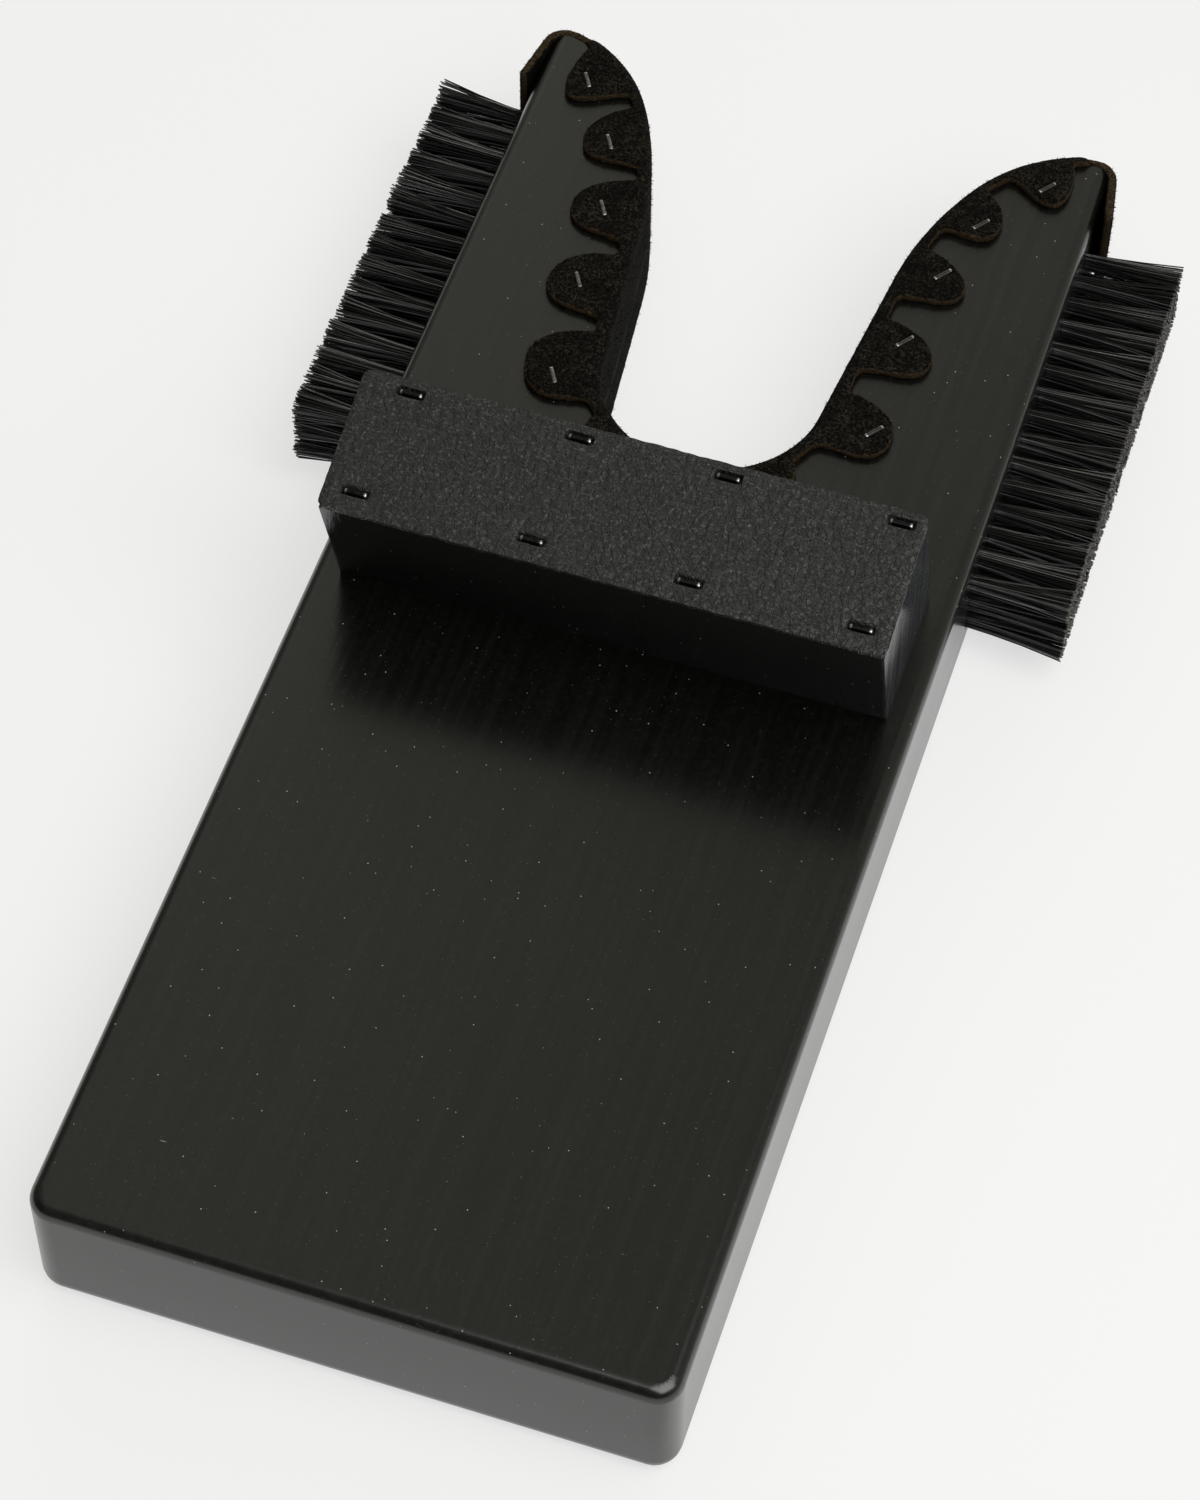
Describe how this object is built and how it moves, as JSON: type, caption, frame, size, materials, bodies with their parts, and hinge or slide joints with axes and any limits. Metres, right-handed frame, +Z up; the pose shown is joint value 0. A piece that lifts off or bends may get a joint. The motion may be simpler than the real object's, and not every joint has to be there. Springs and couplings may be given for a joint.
{
  "type": "boot jack",
  "caption": "Flat wooden boot jack with a suede-lined heel notch between two horns, a slanted fulcrum block with a leather pad, and a bristle brush on each side.",
  "frame": {"origin": "centre of the bounding box in plan, on the plane of the tread face that the part lies on", "axes": "+X across the board to its right with the rear edge nearest, +Y along the board from the rear edge to the horn tips, +Z up from the tread face to the fulcrum block's pad"},
  "size_m": [0.2024, 0.3744, 0.0877],
  "materials": {
    "painted_board": "satin black paint over solid wood, faint grain",
    "painted_block": "satin black paint over solid wood, faint end grain",
    "pad_leather": "black pebbled leather, low sheen",
    "pad_staple_wire": "dull galvanised wire",
    "suede": "charcoal suede nap with brownish cut edges",
    "staple_wire": "galvanised wire",
    "bristles": "black nylon, glossy",
    "screw_steel": "zinc plated"
  },
  "bodies": {
    "root": {"board": "painted_board", "fulcrum_block": "painted_block", "fulcrum_pad": "pad_leather", "pad_staples": "pad_staple_wire", "notch_lining": "suede", "lining_staples": "staple_wire", "left_brush": "bristles", "right_brush": "bristles", "block_screws": "screw_steel"}
  },
  "joints": []
}
